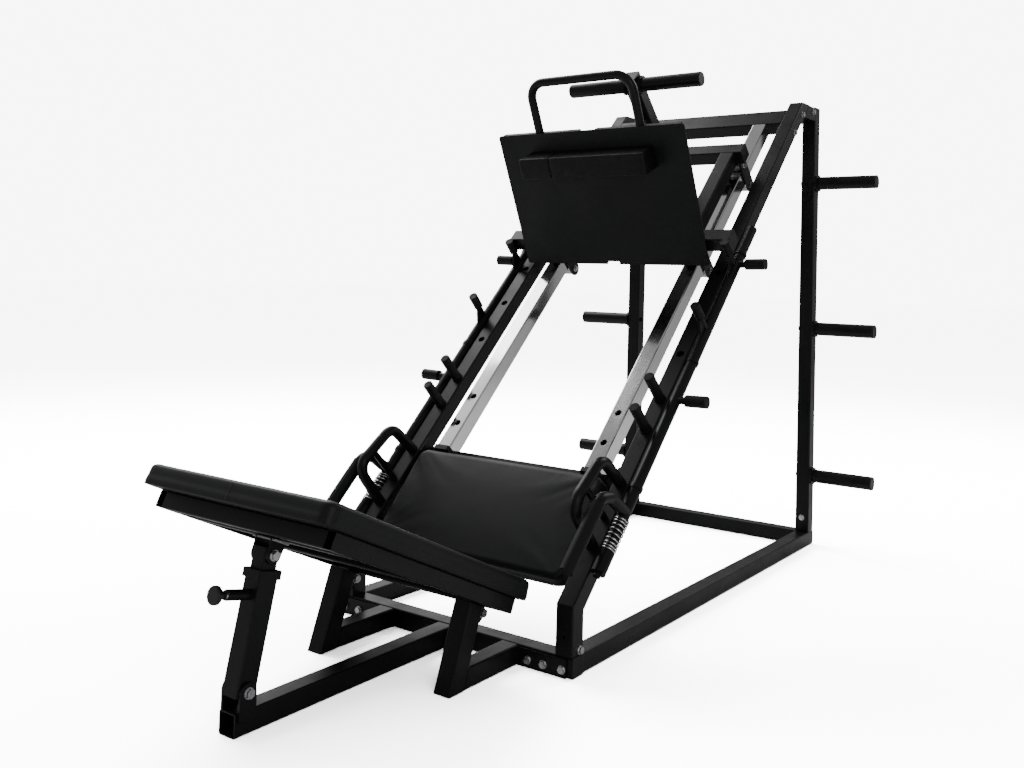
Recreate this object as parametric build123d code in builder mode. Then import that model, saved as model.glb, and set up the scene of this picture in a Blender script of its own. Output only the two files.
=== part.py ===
"""45 degree leg press machine: plate-loaded foot carriage on inclined guide rails.

Millimetres, +Z up.  X runs across the machine (the user's right is +X) and +Y runs from the
back rest towards the uprights.  The origin is on the floor, under the middle of the front
cross tube.  Most of the upper structure is laid out on the rail plane: its local x is X, its
local y runs up along the rails and its local z stands off their upper faces.
"""

import os
from math import atan2, cos, radians, sin

from build123d import *

os.makedirs("parts", exist_ok=True)

# Frame
TUBE = 50.0                 # square frame tube
WALL = 3.0
CORNER = 4.0                # outer corner radius of the tubes
FRAME_WIDTH = 784.0
FRAME_REAR = 1605.0         # rear face of the uprights
FRAME_HEIGHT = 1620.0
BEND_HEIGHT = 172.5         # where the front columns bend into the rails
SPINE_LENGTH = 690.0
LEG_OFFSET = 210.0          # centre of each back rest leg
RAIL_ANGLE = 45.0

# Guide rails and top beam, along the rails
GUIDE_OFFSET = 261.0        # centre of each guide rail
GUIDE_START = 386.0
TOP_BEAM_DEPTH = 75.0
TOP_BEAM_END = 2002.0
GUIDE_CROSSBAR = 385.0
GUIDE_BOLT_HOLES = (476.0, 581.0)
GUIDE_HOLE_RADIUS = 10.0

# Stop pins, in holes along the upper faces of the outer rails
PIN_RADIUS = 11.0
PIN_GRIP_RADIUS = 15.0
PIN_GRIP_LENGTH = 94.0
PIN_SHANK = 44.0
PIN_POSITIONS = (537.5, 646.0)
SPARE_PIN_HOLES = (815.0, 984.0, 1153.0)
RUNNING_GAP = 0.06          # radial clearance of every turning or sliding fit

# Catch bars, beside the outer rails
CATCH_OFFSET = 413.0
CATCH_DROP = -5.0
CATCH_RADIUS = 16.0
CATCH_START = 112.0
CATCH_END = 1362.0
CATCH_LEAN = 2.0            # inward lean of the pegs and the lever, degrees
PEG_POSITIONS = (915.0, 1186.0)
PEG_HEIGHT = 106.0
PEG_GRIP_RADIUS = 14.5
HORN_POSITIONS = (650.0, 1197.0)
HORN_LENGTH = 98.0
HORN_RADIUS = 10.5
HORN_GRIP_RADIUS = 17.0
LEVER_POINTS = ((278.0, 0.0), (262.0, 85.0), (233.0, 119.0), (26.0, 119.0))
LEVER_BEND = 30.0
LEVER_GRIP_RADIUS = 18.5
LUG_POSITIONS = (352.0, 790.0, 1240.0)
HOUSING_START = 100.0
HOUSING_END = 160.0
HOUSING_RADIUS = 19.5
SPRING_END = 258.0
SPRING_RADIUS = 20.5        # outside of the return springs' coils
SPRING_WIRE = 4.0
LUG_RADIUS = 18.5
LUG_LENGTH = 12.0

# Carriage, along and above the rails
CARRIAGE_LIFT = 45.0        # underside of its tubes above the guide rails
LOWER_BEAM = 1226.0         # beam centre lines
UPPER_BEAM = 1666.0
LOWER_BEAM_HALF = 415.0
UPPER_BEAM_HALF = 310.0
ROLLER_RADIUS = 20.0
ROLLER_WIDTH = 46.0
ROLLER_GAP = 0.3
AXLE_RADIUS = 6.0
SLEEVE_RADIUS = 24.0        # plate sleeves, for 50 mm bores
SLEEVE_LEVEL = 383.0
CARRIAGE_SLEEVE_HALF = 253.0

# Foot plate, on its own plane
PLATE_START = (1159.0, 24.0)
PLATE_LEAN = 19.9
PLATE_HALF = 345.0
PLATE_LENGTH = 461.0
PLATE_THICK = 4.0
HANDLE_RADIUS = 14.0
HANDLE_HALF = 188.0
HANDLE_TOP = 623.0

# Storage sleeves on the uprights
STORAGE_LEVELS = (255.0, 797.0, 1339.0)
STORAGE_END = 617.0

# Seat
SEAT_LOW = (20.0, 213.0)    # lower edge of the pad's upper face, (y, z)
SEAT_ANGLE = 48.5
SEAT_LENGTH = 305.0
SEAT_WIDTH = 648.0
SEAT_THICK = 52.0
SEAT_HANDLE_OFFSET = 365.0
SEAT_HANDLE_RADIUS = 15.5
SEAT_HANDLE_CORNERS = ((358.0, 0.0), (345.0, 122.0), (180.0, 147.0), (168.0, 0.0))
SEAT_HANDLE_BEND = 42.0

# Back rest, hinged on the legs and propped by a telescoping post
BACK_LOW = (-61.0, 223.0)   # lower edge of the pad's upper face, (y, z)
BACK_ANGLE = 24.6
BACK_LENGTH = 740.0
BACK_OVERHANG = 12.0        # of the pad, past the lower edge of its plane
BACK_WIDTH = 598.0
BACK_THICK = 48.0
TRAY_HALF = 280.0
TRAY_DEPTH = 38.0
TRAY_ENDS = (-675.0, -28.0)
HINGE_AT = (-68.0, -101.0)  # on the back plane: along, above
POST_HEAD_AT = (-572.0, -117.0)
POST_FOOT = (-687.0, 87.0)  # (y, z)
POST_TUBE = 50.0
POST_INNER = 40.0
POST_TUBE_END = 236.0
POST_INNER_START = 14.0
POST_STEP = 40.0            # pitch of the adjustment holes
PULL_PIN_LEVEL = 190.0
PIN_HOUSING_END = 84.0      # outer end of the pull pin's housing, from the post's axis
PIVOT_RADIUS = 6.0
HEAD_SLACK = 2.4            # radial slack of the post's head hole

HALF = FRAME_WIDTH / 2
SIDE = HALF - TUBE / 2
FRONT = -TUBE / 2
ACROSS = Vector(1, 0, 0)
ALONG = Vector(0, cos(radians(RAIL_ANGLE)), sin(radians(RAIL_ANGLE)))
ABOVE = Vector(0, -sin(radians(RAIL_ANGLE)), cos(radians(RAIL_ANGLE)))
RAIL_PLANE = Plane(origin=(0, FRONT, BEND_HEIGHT), x_dir=ACROSS, z_dir=ABOVE)


def on_rails(x, along, above):
    """A point given on the rail plane."""
    return RAIL_PLANE.from_local_coords(Vector(x, along, above))


def rail_section(x, along, above, normal):
    """A plane at a point of the rail plane, for sections that run along the normal."""
    if abs(normal.X) > 0.5:
        return Plane(origin=on_rails(x, along, above), x_dir=ALONG, z_dir=normal)
    return Plane(origin=on_rails(x, along, above), x_dir=ACROSS, z_dir=normal)


def upright_plane(x, y, z, normal):
    """A plane for sections that run straight along X, Y or Z."""
    if abs(Vector(normal).X) > 0.5:
        return Plane(origin=(x, y, z), x_dir=(0, 1, 0), z_dir=normal)
    return Plane(origin=(x, y, z), x_dir=(1, 0, 0), z_dir=normal)


def back_point(along, above, x=0.0):
    """A point on the back rest's plane; along is negative towards the head."""
    return BACK_PLANE.from_local_coords(Vector(x, along, above))


def save(shape, name):
    """Labels a finished piece and writes it."""
    shape.label = name
    export_step(shape, f"parts/{name}.step")


def save_pair(shape, name):
    """Writes a right-hand piece and its mirror image on the left."""
    save(mirror(shape, about=Plane.YZ), f"{name}_left")
    save(shape, f"{name}_right")


def square_tube(plane, length, width=TUBE, depth=TUBE, wall=WALL):
    """Adds a hollow tube that starts on the plane and runs along its normal."""
    with BuildSketch(plane) as section:
        RectangleRounded(width, depth, CORNER)
        Rectangle(width - 2 * wall, depth - 2 * wall, mode=Mode.SUBTRACT)
    extrude(section.sketch, amount=length)


def block(plane, width, depth, length, corner=0.0):
    """Adds a solid bar that starts on the plane and runs along its normal."""
    with BuildSketch(plane) as section:
        if corner:
            RectangleRounded(width, depth, corner)
        else:
            Rectangle(width, depth)
    extrude(section.sketch, amount=length)


def rod(plane, radius, length, mode=Mode.ADD):
    """Adds or cuts a round bar that starts on the plane and runs along its normal."""
    with BuildSketch(plane) as section:
        Circle(radius)
    extrude(section.sketch, amount=length, mode=mode)


def bent_rod(points, radius, bend):
    """Adds a round bar along straight runs joined by tangent bends."""
    with BuildLine() as route:
        FilletPolyline(*points, radius=bend)
    start = Plane(origin=route.line @ 0, z_dir=route.line % 0)
    with BuildSketch(start) as section:
        Circle(radius)
    sweep(section.sketch, path=route.line)


def profile(plane, points, thick):
    """Adds a plate with a straight-sided outline."""
    with BuildSketch(plane) as outline:
        with BuildLine():
            Polyline(*points, close=True)
        make_face()
    extrude(outline.sketch, amount=thick)


def hex_bolt(plane, shank=12.0, radius=5.0):
    """Adds a hex head with its washer on the plane and its shank behind it."""
    rod(plane, radius * 2.1, 2)
    with BuildSketch(plane.offset(2)) as head:
        RegularPolygon(radius * 1.8, 6)
    extrude(head.sketch, amount=radius * 1.2)
    rod(plane.offset(-shank), radius, shank)


BACK_PLANE = Plane(
    origin=(0, *BACK_LOW),
    x_dir=ACROSS,
    z_dir=(0, sin(radians(BACK_ANGLE)), cos(radians(BACK_ANGLE))),
)
SEAT_PLANE = Plane(
    origin=(0, *SEAT_LOW),
    x_dir=ACROSS,
    z_dir=(0, -sin(radians(SEAT_ANGLE)), cos(radians(SEAT_ANGLE))),
)
PLATE_UP = ABOVE * cos(radians(PLATE_LEAN)) + ALONG * sin(radians(PLATE_LEAN))
PLATE_OUT = ABOVE * sin(radians(PLATE_LEAN)) - ALONG * cos(radians(PLATE_LEAN))
PLATE_PLANE = Plane(origin=on_rails(0, *PLATE_START), x_dir=ACROSS, z_dir=PLATE_OUT)
HINGE = back_point(*HINGE_AT)
POST_HEAD = back_point(*POST_HEAD_AT)
POST_RUN = POST_HEAD - Vector(0, *POST_FOOT)
POST_LENGTH = POST_RUN.length
POST_PLANE = Plane(origin=(0, *POST_FOOT), x_dir=ACROSS, z_dir=POST_RUN.normalized())
BOLT_CLEAR = 0.1            # radial clearance of a bolt in a fixed joint
LEG_BOLTS = (266.0, 313.0, 367.0)
SPINE_BOLT = 55.0
LEG_BOLT_HEIGHT = 20.0
FLANGE = 5.0
COLUMN_BOLT = upright_plane(HALF, 8, 62, (1, 0, 0))
RAIL_BOLT = upright_plane(HALF, 1348, 1499, (1, 0, 0))
RAIL_TOP_BOLT = upright_plane(HALF, 1421, 1574, (1, 0, 0))
LINK_BOLT = upright_plane(HALF, 1532, 1600, (1, 0, 0))
UPRIGHT_BOLT = upright_plane(SIDE, FRAME_REAR - TUBE, 101, (0, -1, 0))
REAR_Y = FRAME_REAR - TUBE / 2


def drill(plane, depth=WALL + 1, radius=5.0):
    """Cuts a bolt's hole into the wall behind the plane."""
    rod(plane.offset(-depth), radius + BOLT_CLEAR, depth + 1, mode=Mode.SUBTRACT)


def leg_bolt_plane(x, y):
    """Where a leg's flange bolt bears, looking along -Y."""
    return upright_plane(x, y, LEG_BOLT_HEIGHT, (0, -1, 0))


def both_sides(values):
    """Each value with both signs."""
    return [sign * value for value in values for sign in (1, -1)]


# ---------------------------------------------------------------- base

def make_base():
    """Floor tubes: two cross tubes, two side tubes and the spine under the back rest."""
    with BuildPart() as front_cross_tube:
        square_tube(upright_plane(-HALF, 0, TUBE / 2, (1, 0, 0)), FRAME_WIDTH)
        for x in both_sides(LEG_BOLTS + (SPINE_BOLT,)):
            drill(leg_bolt_plane(x, FRONT))
    save(front_cross_tube.part, "front_cross_tube")

    with BuildPart() as rear_cross_tube:
        inner = HALF - TUBE
        square_tube(upright_plane(-inner, REAR_Y, TUBE / 2, (1, 0, 0)), 2 * inner)
    save(rear_cross_tube.part, "rear_cross_tube")

    with BuildPart() as base_side_tube:
        run = FRAME_REAR - TUBE / 2
        square_tube(upright_plane(SIDE, TUBE / 2, TUBE / 2, (0, 1, 0)), run)
    save_pair(base_side_tube.part, "base_side_tube")

    with BuildPart() as spine_tube:
        start = FRONT - FLANGE
        square_tube(upright_plane(0, start, TUBE / 2, (0, -1, 0)), SPINE_LENGTH - FLANGE)
        block(upright_plane(0, start + FLANGE / 2, 0, (0, 0, 1)), 150, FLANGE, 45)
        for x in (SPINE_BOLT, -SPINE_BOLT):
            drill(leg_bolt_plane(x, start), depth=FLANGE + 1)
    save(spine_tube.part, "spine_tube")

    ear_foot = 32.0
    play = 0.5
    with BuildPart() as post_ears:
        for side in (1, -1):
            ear = Plane(origin=(side * (TUBE / 2 + play), 0, 0), x_dir=(0, 1, 0), z_dir=(1, 0, 0))
            with BuildSketch(ear) as outline:
                with Locations(POST_FOOT):
                    Circle(21)
                with Locations((POST_FOOT[0], (POST_FOOT[1] + ear_foot) / 2)):
                    Rectangle(42, POST_FOOT[1] - ear_foot)
                with Locations(POST_FOOT):
                    Circle(PIVOT_RADIUS + RUNNING_GAP, mode=Mode.SUBTRACT)
            extrude(outline.sketch, amount=side * FLANGE)
            packing = upright_plane(side * (TUBE + play) / 2, POST_FOOT[0], ear_foot, (0, 0, 1))
            block(packing, play, 42, TUBE - ear_foot)
    save(post_ears.part, "post_ears")


def make_legs():
    """Back rest legs: a leaning post, a floor tube and a bolted flange in one weldment."""
    lean_run = 0.35
    foot_front = -289.0
    lean = atan2(lean_run, 1.0)
    depth_on_floor = TUBE / cos(lean)
    with BuildPart() as leg:
        axis = Vector(0, sin(lean), cos(lean))
        foot = Vector(LEG_OFFSET, foot_front + depth_on_floor / 2, 0)
        square_tube(Plane(origin=foot - axis * 40, x_dir=ACROSS, z_dir=axis), 330)
        split(bisect_by=Plane.XY, keep=Keep.TOP)
        under_tray = Plane(origin=back_point(0, -BACK_THICK - TRAY_DEPTH - 1.5), z_dir=BACK_PLANE.z_dir)
        split(bisect_by=under_tray, keep=Keep.BOTTOM)
    with BuildPart() as floor_tube:
        start = FRONT - FLANGE
        square_tube(upright_plane(LEG_OFFSET, start, TUBE / 2, (0, -1, 0)), 300)
        behind = Plane(
            origin=(0, foot_front + depth_on_floor, 0),
            z_dir=(0, cos(lean), -sin(lean)),
        )
        split(bisect_by=behind, keep=Keep.TOP)
    with BuildPart() as front_leg:
        add(leg.part)
        add(floor_tube.part)
        block(upright_plane(281.5, FRONT - FLANGE / 2, 0, (0, 0, 1)), 193, FLANGE, 45)
        for x in LEG_BOLTS:
            drill(leg_bolt_plane(x, FRONT - FLANGE), depth=FLANGE + 1)
        for x in (LEG_OFFSET - 15, LEG_OFFSET + 10):
            ear = Plane(origin=(x, 0, 0), x_dir=(0, 1, 0), z_dir=(1, 0, 0))
            with BuildSketch(ear) as outline:
                with BuildLine():
                    Polyline(
                        (-196, 120), (HINGE.Y + 3, HINGE.Z - 13.5), (HINGE.Y, HINGE.Z + 14),
                        (-187, 168), close=True,
                    )
                make_face()
                with Locations((HINGE.Y, HINGE.Z)):
                    Circle(14)
                    Circle(PIVOT_RADIUS + RUNNING_GAP, mode=Mode.SUBTRACT)
            extrude(outline.sketch, amount=FLANGE)
    save_pair(front_leg.part, "front_leg")


# ---------------------------------------------------------------- side frames

def make_side_frames():
    """Columns, inclined outer rails, uprights and the short links between them."""
    bend = Plane(origin=on_rails(0, 0, 0), z_dir=Vector(0, 0, 1) + ALONG)
    ceiling = Plane.XY.offset(FRAME_HEIGHT)
    with BuildPart() as column:
        square_tube(upright_plane(SIDE, 0, TUBE, (0, 0, 1)), BEND_HEIGHT)
        split(bisect_by=bend, keep=Keep.BOTTOM)
        drill(COLUMN_BOLT)
        hole = upright_plane(SIDE, FRONT, 94, (0, -1, 0))
        drill(hole, radius=4)
    save_pair(column.part, "column")

    with BuildPart() as outer_rail:
        square_tube(rail_section(SIDE, -60, -TUBE / 2, ALONG), 2200)
        split(bisect_by=bend, keep=Keep.TOP)
        split(bisect_by=ceiling, keep=Keep.BOTTOM)
        for along in PIN_POSITIONS + SPARE_PIN_HOLES:
            drill(rail_section(SIDE, along, 0, ABOVE), radius=PIN_RADIUS + RUNNING_GAP - BOLT_CLEAR)
        drill(RAIL_BOLT)
        drill(RAIL_TOP_BOLT)
    save_pair(outer_rail.part, "outer_rail")

    with BuildPart() as upright:
        square_tube(upright_plane(SIDE, REAR_Y, TUBE, (0, 0, 1)), FRAME_HEIGHT - TUBE)
        drill(UPRIGHT_BOLT)
        for level in STORAGE_LEVELS:
            drill(upright_plane(HALF, REAR_Y, level, (1, 0, 0)), depth=TUBE + 1)
    save_pair(upright.part, "upright")

    with BuildPart() as top_link:
        link = upright_plane(SIDE, FRAME_REAR - TUBE, FRAME_HEIGHT - TUBE / 2, (0, -1, 0))
        square_tube(link, 120)
        split(bisect_by=Plane(origin=on_rails(0, 0, -TUBE), z_dir=ABOVE), keep=Keep.BOTTOM)
        drill(LINK_BOLT)
    other_link = mirror(top_link.part, about=Plane.YZ)
    save(Compound(children=[top_link.part, other_link]), "top_links")

    with BuildPart() as top_gussets:
        beam_start = TOP_BEAM_END - TOP_BEAM_DEPTH
        outline = (
            (beam_start - 42, -6), (beam_start - 1, -6), (beam_start - 1, -TUBE - 1),
            (beam_start + 60, -TUBE - 1), (beam_start + 30, -TUBE - 18), (beam_start - 24, -TUBE - 18),
        )
        for x in (HALF - TUBE - FLANGE, TUBE - HALF):
            profile(rail_section(x, 0, 0, ACROSS), outline, FLANGE)
    save(top_gussets.part, "top_gussets")


def make_cross_members():
    """Beams across the top, the guide rails and the bar that carries their lower ends."""
    inner = HALF - TUBE
    with BuildPart() as top_beam:
        centre = TOP_BEAM_END - TOP_BEAM_DEPTH / 2
        start = rail_section(-inner, centre, -TUBE / 2, ACROSS)
        square_tube(start, 2 * inner, width=TOP_BEAM_DEPTH)
        for x in (GUIDE_OFFSET, -GUIDE_OFFSET):
            cut = rail_section(x, TOP_BEAM_END - TOP_BEAM_DEPTH - 1, -TUBE / 2, ALONG)
            drill(cut.offset(WALL + 1), radius=5)
    save(top_beam.part, "top_beam")

    with BuildPart() as rear_top_beam:
        square_tube(upright_plane(-inner, REAR_Y, FRAME_HEIGHT - TUBE / 2, (1, 0, 0)), 2 * inner)
    save(rear_top_beam.part, "rear_top_beam")

    with BuildPart() as guide_rail:
        length = TOP_BEAM_END - TOP_BEAM_DEPTH - GUIDE_START
        square_tube(rail_section(GUIDE_OFFSET, GUIDE_START, -TUBE / 2, ALONG), length)
        for along in GUIDE_BOLT_HOLES:
            drill(rail_section(GUIDE_OFFSET, along, 0, ABOVE), radius=GUIDE_HOLE_RADIUS)
    save_pair(guide_rail.part, "guide_rail")

    with BuildPart() as guide_crossbar:
        reach = inner - FLANGE
        square_tube(rail_section(-reach, GUIDE_CROSSBAR, -1.5 * TUBE, ACROSS), 2 * reach)
        for x in (reach, -inner):
            hanger = rail_section(x, GUIDE_CROSSBAR, -TUBE, ACROSS)
            block(hanger, 44, 94, FLANGE)
    save(guide_crossbar.part, "guide_crossbar")

    with BuildPart() as guide_end_caps:
        for x in (GUIDE_OFFSET, -GUIDE_OFFSET):
            cap = rail_section(x, GUIDE_START - 15, -TUBE / 2 + 4, ALONG)
            block(cap, TUBE + 6, TUBE + 8, 15, corner=6)
            plug = rail_section(x, GUIDE_START, -TUBE / 2, ALONG)
            block(plug, TUBE - 2 * WALL - 1, TUBE - 2 * WALL - 1, 14)
    save(guide_end_caps.part, "guide_end_caps")


def make_storage():
    """Plate storage sleeves on the uprights, with the plugs of all fixed open tube ends."""
    with BuildPart() as storage_sleeves:
        for side in (1, -1):
            for level in STORAGE_LEVELS:
                root = upright_plane(side * HALF, REAR_Y, level, (side, 0, 0))
                rod(root, 31, 9)
                rod(root, SLEEVE_RADIUS, STORAGE_END - HALF - 6)
                rod(root.offset(-TUBE), 5, TUBE)
                nut = root.offset(-TUBE - 8)
                with BuildSketch(nut) as hexagon:
                    RegularPolygon(9, 6)
                extrude(hexagon.sketch, amount=8)
    save(storage_sleeves.part, "storage_sleeves")

    with BuildPart() as plugs:
        for side in (1, -1):
            for level in STORAGE_LEVELS:
                rod(upright_plane(side * (STORAGE_END - 6), REAR_Y, level, (side, 0, 0)), SLEEVE_RADIUS, 6)
            ends = (
                upright_plane(side * HALF, 0, TUBE / 2, (side, 0, 0)),
                upright_plane(side * SIDE, FRAME_REAR, TUBE / 2, (0, 1, 0)),
                upright_plane(side * SIDE, REAR_Y, FRAME_HEIGHT, (0, 0, 1)),
            )
            for end in ends:
                block(end, TUBE - 1, TUBE - 1, 2.5, corner=CORNER)
    save(plugs.part, "tube_plugs")


# ---------------------------------------------------------------- catch bars

CATCH_SIDE = ACROSS * cos(radians(CATCH_LEAN)) + ABOVE * sin(radians(CATCH_LEAN))
CATCH_UP = ABOVE * cos(radians(CATCH_LEAN)) - ACROSS * sin(radians(CATCH_LEAN))


def on_catch(along, up, out=0.0):
    """A point given from the right-hand catch bar's own axis."""
    return on_rails(CATCH_OFFSET, along, CATCH_DROP) + CATCH_UP * up + CATCH_SIDE * out


def peg_plane(along, up):
    """A plane across a peg, looking along it."""
    return Plane(origin=on_catch(along, up), x_dir=CATCH_SIDE, z_dir=CATCH_UP)


def horn_plane(along, out):
    """A plane across a side horn, looking along it."""
    return Plane(origin=on_catch(along, 0, out), x_dir=ALONG, z_dir=CATCH_SIDE)


def make_catches():
    """Turning catch bars with their pegs, side horns, levers and grips."""
    with BuildPart() as catch_bar:
        length = CATCH_END - CATCH_START
        rod(rail_section(CATCH_OFFSET, CATCH_START, CATCH_DROP, ALONG), CATCH_RADIUS, length)
        for along in PEG_POSITIONS:
            rod(peg_plane(along, 0), 9, PEG_HEIGHT - 4)
            rib = Plane(origin=on_catch(along, 0) - CATCH_SIDE * 3, x_dir=ALONG, z_dir=CATCH_SIDE)
            profile(rib, ((-48, 8), (-11, 55), (0, 55), (0, 8)), 6)
        for along in HORN_POSITIONS:
            rod(horn_plane(along, 0), HORN_RADIUS, HORN_LENGTH - 3)
        points = [on_catch(along, up) for along, up in LEVER_POINTS[:3]]
        points.append(on_catch(LEVER_POINTS[3][0] + 8, LEVER_POINTS[3][1]))
        bent_rod(points, CATCH_RADIUS, LEVER_BEND)
    save_pair(catch_bar.part, "catch_bar")

    with BuildPart() as catch_grips:
        for along in PEG_POSITIONS:
            rod(peg_plane(along, 55.5), PEG_GRIP_RADIUS, PEG_HEIGHT - 55.5)
            rod(peg_plane(along, 55), 9, PEG_HEIGHT - 59, mode=Mode.SUBTRACT)
        for along in HORN_POSITIONS:
            rod(horn_plane(along, 34), HORN_GRIP_RADIUS, HORN_LENGTH - 34)
            rod(horn_plane(along, 34), HORN_RADIUS, HORN_LENGTH - 37, mode=Mode.SUBTRACT)
        grip_start = LEVER_POINTS[2][0] - 14
        grip_end = LEVER_POINTS[3][0]
        grip = Plane(origin=on_catch(grip_end, LEVER_POINTS[3][1]), x_dir=CATCH_SIDE, z_dir=ALONG)
        rod(grip, LEVER_GRIP_RADIUS, grip_start - grip_end)
        rod(grip.offset(8), CATCH_RADIUS, grip_start - grip_end, mode=Mode.SUBTRACT)
    save_pair(catch_grips.part, "catch_grips")


def make_catch_bearings():
    """Lugs and lower housings that the catch bars turn in, and their return springs."""
    bore = CATCH_RADIUS + RUNNING_GAP
    reach = CATCH_OFFSET - HALF
    with BuildPart() as catch_lugs:
        for side in (1, -1):
            for along in LUG_POSITIONS:
                start = along - LUG_LENGTH / 2
                ring = rail_section(side * CATCH_OFFSET, start, CATCH_DROP, ALONG)
                rod(ring, LUG_RADIUS, LUG_LENGTH)
                web = rail_section(side * (HALF + reach / 2), start, CATCH_DROP - 6, ALONG)
                block(web, reach, LUG_LENGTH, LUG_LENGTH)
                rod(ring.offset(-1), bore, LUG_LENGTH + 2, mode=Mode.SUBTRACT)
    save(catch_lugs.part, "catch_lugs")

    with BuildPart() as spring_housings:
        for side in (1, -1):
            shell = rail_section(side * CATCH_OFFSET, HOUSING_START, CATCH_DROP, ALONG)
            rod(shell, HOUSING_RADIUS, HOUSING_END - HOUSING_START)
            rod(shell.offset(-10), 10, 10)
            web = rail_section(side * (HALF + reach / 2), HOUSING_START + 14, CATCH_DROP - 6, ALONG)
            block(web, reach, 14, 36)
            rod(shell.offset(CATCH_START - HOUSING_START - 1), bore, 90, mode=Mode.SUBTRACT)
    save(spring_housings.part, "spring_housings")

    with BuildPart() as return_springs:
        for side in (1, -1):
            seat = rail_section(side * CATCH_OFFSET, HOUSING_END + 0.5, CATCH_DROP, ALONG)
            rod(seat, SPRING_RADIUS, SPRING_END - HOUSING_END - 1)
            rod(seat.offset(-1), SPRING_RADIUS - SPRING_WIRE, 120, mode=Mode.SUBTRACT)
    save(return_springs.part, "return_springs")


def make_stop_pins():
    """Pull-out stop pins in the outer rails."""
    places = (("lower", PIN_POSITIONS[0]), ("upper", PIN_POSITIONS[1]))
    for level, along in places:
        with BuildPart() as stop_pin:
            rod(rail_section(SIDE, along, 0.3, ABOVE), PIN_GRIP_RADIUS + 2, 5)
            rod(rail_section(SIDE, along, 0.3, ABOVE), PIN_GRIP_RADIUS, PIN_GRIP_LENGTH)
            rod(rail_section(SIDE, along, -PIN_SHANK, ABOVE), PIN_RADIUS, PIN_SHANK + 1)
            rim = stop_pin.edges().filter_by(GeomType.CIRCLE).sort_by(Axis(on_rails(0, 0, 0), ABOVE))[-1]
            fillet(rim, 3)
        save_pair(stop_pin.part, f"stop_pin_{level}")


# ---------------------------------------------------------------- carriage

def plate_back(above):
    """How far along the rails the foot plate's rear face is, at a height above them."""
    rise = (above - PLATE_START[1]) * sin(radians(PLATE_LEAN)) / cos(radians(PLATE_LEAN))
    return PLATE_START[0] + rise + PLATE_THICK / cos(radians(PLATE_LEAN))


def make_carriage_frame():
    """Two beams and two side tubes above the guide rails, with the tabs of the foot plate."""
    level = CARRIAGE_LIFT + TUBE / 2
    pieces = []
    for half, along in ((LOWER_BEAM_HALF, LOWER_BEAM), (UPPER_BEAM_HALF, UPPER_BEAM)):
        with BuildPart() as beam:
            square_tube(rail_section(-half, along, level, ACROSS), 2 * half)
        pieces.append(beam.part)
    for x in (GUIDE_OFFSET, -GUIDE_OFFSET):
        with BuildPart() as side_tube:
            length = UPPER_BEAM - LOWER_BEAM - TUBE
            square_tube(rail_section(x, LOWER_BEAM + TUBE / 2, level, ALONG), length)
        pieces.append(side_tube.part)
    low, high = CARRIAGE_LIFT + 4, CARRIAGE_LIFT + TUBE - 4
    front = LOWER_BEAM - TUBE / 2
    outline = ((front, low), (front, high), (plate_back(high), high), (plate_back(low), low))
    for x in (-320, -170, 130, 280):
        with BuildPart() as tab:
            profile(rail_section(x, 0, 0, ACROSS), outline, 40)
        pieces.append(tab.part)
    save(Compound(children=pieces), "carriage_frame")

    with BuildPart() as carriage_post:
        floor = rail_section(0, UPPER_BEAM, CARRIAGE_LIFT + TUBE, ABOVE)
        square_tube(floor, SLEEVE_LEVEL + 36 - CARRIAGE_LIFT - TUBE)
        block(rail_section(0, UPPER_BEAM, SLEEVE_LEVEL + 36, ABOVE), TUBE, TUBE, 3, corner=CORNER)
        low, high = 225, 265
        face = UPPER_BEAM - TUBE / 2
        outline = ((face, low), (face, high), (plate_back(high), high), (plate_back(low), low))
        profile(rail_section(-15, 0, 0, ACROSS), outline, 30)
        rod(rail_section(-40, UPPER_BEAM, SLEEVE_LEVEL, ACROSS), 8.2, 80, mode=Mode.SUBTRACT)
    save(carriage_post.part, "carriage_post")

    with BuildPart() as carriage_sleeve:
        for side in (1, -1):
            root = rail_section(side * TUBE / 2, UPPER_BEAM, SLEEVE_LEVEL, ACROSS * side)
            rod(root, 31, 10)
            rod(root, SLEEVE_RADIUS, CARRIAGE_SLEEVE_HALF - TUBE / 2)
        rod(rail_section(-TUBE, UPPER_BEAM, SLEEVE_LEVEL, ACROSS), 8, 2 * TUBE)
        rims = carriage_sleeve.edges().filter_by(GeomType.CIRCLE).sort_by(Axis.X)
        fillet([rims[0], rims[-1]], 3)
    save(carriage_sleeve.part, "carriage_sleeve")

    with BuildPart() as carriage_caps:
        for side in (1, -1):
            for half, along in ((LOWER_BEAM_HALF, LOWER_BEAM), (UPPER_BEAM_HALF, UPPER_BEAM)):
                end = rail_section(side * half, along, level, ACROSS * side)
                block(end, TUBE - 1, TUBE - 1, 2.5, corner=CORNER)
    save(carriage_caps.part, "carriage_caps")


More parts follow.
